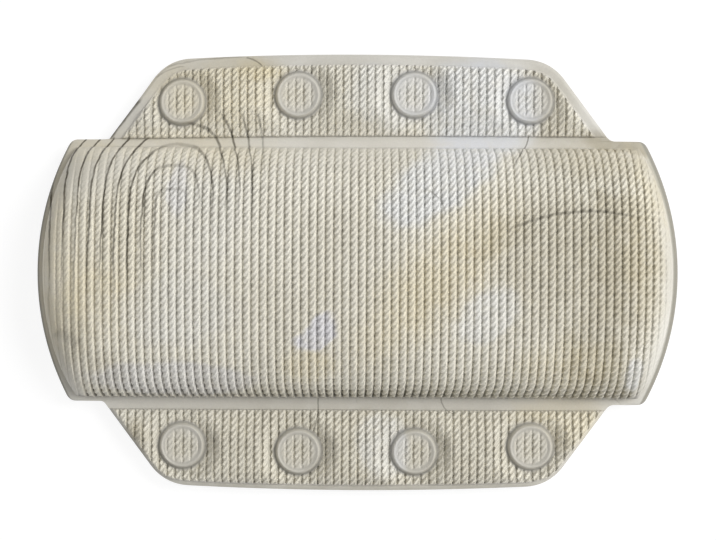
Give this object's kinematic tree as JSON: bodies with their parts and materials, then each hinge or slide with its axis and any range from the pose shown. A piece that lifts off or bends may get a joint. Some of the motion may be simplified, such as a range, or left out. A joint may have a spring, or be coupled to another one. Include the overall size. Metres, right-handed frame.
{
  "type": "bath pillow",
  "caption": "Soft bath pillow: a crowned foam cushion in embossed vinyl with a folding flap on each long side, held to the bath by suction cups.",
  "frame": {"origin": "middle of the plane that the suction cups' lips and the pillow's flat back rest on", "axes": "+X along the pillow, +Y towards the upper flap, +Z out of the padded front"},
  "size_m": [0.356, 0.242, 0.0462],
  "materials": {
    "front_vinyl": "satin embossed knit, marbled",
    "weld_vinyl": "smooth satin",
    "back_film": "smooth satin, fine grain",
    "foam": "open-cell foam",
    "cup_vinyl": "clear milky gloss"
  },
  "bodies": {
    "pillow": {"pillow_front_cover": "front_vinyl", "pillow_back_cover": "back_film", "foam_core": "foam", "upper_hinge_band": "weld_vinyl", "lower_hinge_band": "weld_vinyl"},
    "upper_flap": {"upper_flap_front": "front_vinyl", "upper_flap_back": "back_film"},
    "lower_flap": {"lower_flap_front": "front_vinyl", "lower_flap_back": "back_film"},
    "cup_upper_1": {"suction_cup_upper_1": "cup_vinyl"},
    "cup_upper_2": {"suction_cup_upper_2": "cup_vinyl"},
    "cup_upper_3": {"suction_cup_upper_3": "cup_vinyl"},
    "cup_upper_4": {"suction_cup_upper_4": "cup_vinyl"},
    "cup_lower_1": {"suction_cup_lower_1": "cup_vinyl"},
    "cup_lower_2": {"suction_cup_lower_2": "cup_vinyl"},
    "cup_lower_3": {"suction_cup_lower_3": "cup_vinyl"},
    "cup_lower_4": {"suction_cup_lower_4": "cup_vinyl"}
  },
  "joints": [
    {"name": "upper_flap_fold", "type": "hinge", "parent": "pillow", "child": "upper_flap", "pos_m": [0, 0.0733, 0.0111], "axis": [1, 0, 0], "range_deg": [-90, 90], "stiffness_Nm_per_rad": 0.03, "deforming": ["upper_hinge_band"]},
    {"name": "lower_flap_fold", "type": "hinge", "parent": "pillow", "child": "lower_flap", "pos_m": [0, -0.0733, 0.0111], "axis": [-1, 0, 0], "range_deg": [-90, 90], "stiffness_Nm_per_rad": 0.03, "deforming": ["lower_hinge_band"]},
    {"name": "cup_upper_1_press", "type": "slide", "parent": "upper_flap", "child": "cup_upper_1", "axis": [0, 0, 1], "range_m": [0, 0.003], "stiffness_N_per_m": 1500, "deforming": ["suction_cup_upper_1"]},
    {"name": "cup_upper_2_press", "type": "slide", "parent": "upper_flap", "child": "cup_upper_2", "axis": [0, 0, 1], "range_m": [0, 0.003], "stiffness_N_per_m": 1500, "deforming": ["suction_cup_upper_2"]},
    {"name": "cup_upper_3_press", "type": "slide", "parent": "upper_flap", "child": "cup_upper_3", "axis": [0, 0, 1], "range_m": [0, 0.003], "stiffness_N_per_m": 1500, "deforming": ["suction_cup_upper_3"]},
    {"name": "cup_upper_4_press", "type": "slide", "parent": "upper_flap", "child": "cup_upper_4", "axis": [0, 0, 1], "range_m": [0, 0.003], "stiffness_N_per_m": 1500, "deforming": ["suction_cup_upper_4"]},
    {"name": "cup_lower_1_press", "type": "slide", "parent": "lower_flap", "child": "cup_lower_1", "axis": [0, 0, 1], "range_m": [0, 0.003], "stiffness_N_per_m": 1500, "deforming": ["suction_cup_lower_1"]},
    {"name": "cup_lower_2_press", "type": "slide", "parent": "lower_flap", "child": "cup_lower_2", "axis": [0, 0, 1], "range_m": [0, 0.003], "stiffness_N_per_m": 1500, "deforming": ["suction_cup_lower_2"]},
    {"name": "cup_lower_3_press", "type": "slide", "parent": "lower_flap", "child": "cup_lower_3", "axis": [0, 0, 1], "range_m": [0, 0.003], "stiffness_N_per_m": 1500, "deforming": ["suction_cup_lower_3"]},
    {"name": "cup_lower_4_press", "type": "slide", "parent": "lower_flap", "child": "cup_lower_4", "axis": [0, 0, 1], "range_m": [0, 0.003], "stiffness_N_per_m": 1500, "deforming": ["suction_cup_lower_4"]}
  ]
}
